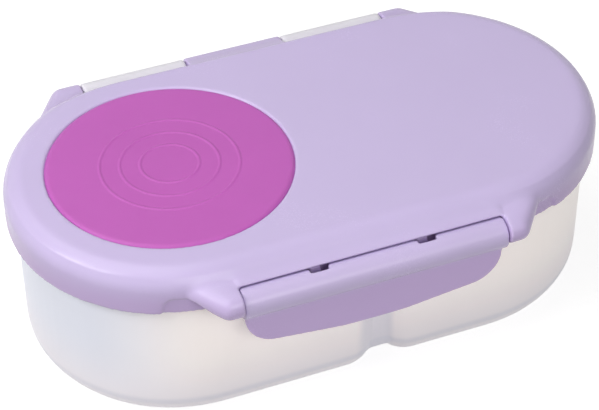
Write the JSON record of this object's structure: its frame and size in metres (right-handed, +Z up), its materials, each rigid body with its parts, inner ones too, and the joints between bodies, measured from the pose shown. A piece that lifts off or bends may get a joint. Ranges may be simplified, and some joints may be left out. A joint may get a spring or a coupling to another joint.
{
  "type": "toddler snack container",
  "caption": "Lidded snack box with two round-bottomed cups, a hinged lid with a stretchy silicone window, and a front clip.",
  "frame": {"origin": "centre of the footprint, on the face the box stands on", "axes": "+X along the box, with the fruit window at -X; +Y towards the hinge; +Z up"},
  "size_m": [0.2, 0.1257, 0.0657],
  "materials": {
    "frosted_plastic": "frosted translucent",
    "lilac_plastic": "satin",
    "pink_silicone": "matte",
    "seal_silicone": "matte",
    "clip_plastic": "satin"
  },
  "bodies": {
    "tray": {"base_tray": "frosted_plastic", "removable_divider": "frosted_plastic"},
    "lid": {"lid_shell": "lilac_plastic", "window_skin": "pink_silicone", "window_retainer": "lilac_plastic", "lid_seal": "seal_silicone"},
    "crown": {"window_crown": "pink_silicone"},
    "clip": {"front_clip": "clip_plastic"}
  },
  "joints": [
    {"name": "lid_hinge", "type": "hinge", "parent": "tray", "child": "lid", "pos_m": [-0.0036, 0.057, 0.0551], "axis": [-1, 0, 0], "range_deg": [0, 115]},
    {"name": "clip_hinge", "type": "hinge", "parent": "lid", "child": "clip", "pos_m": [0, -0.058, 0.0537], "axis": [-1, 0, 0], "range_deg": [0, 65]},
    {"name": "window_flex", "type": "slide", "parent": "lid", "child": "crown", "axis": [0, 0, 1], "range_m": [0, 0.018], "stiffness_N_per_m": 150, "deforming": ["window_skin"]}
  ]
}
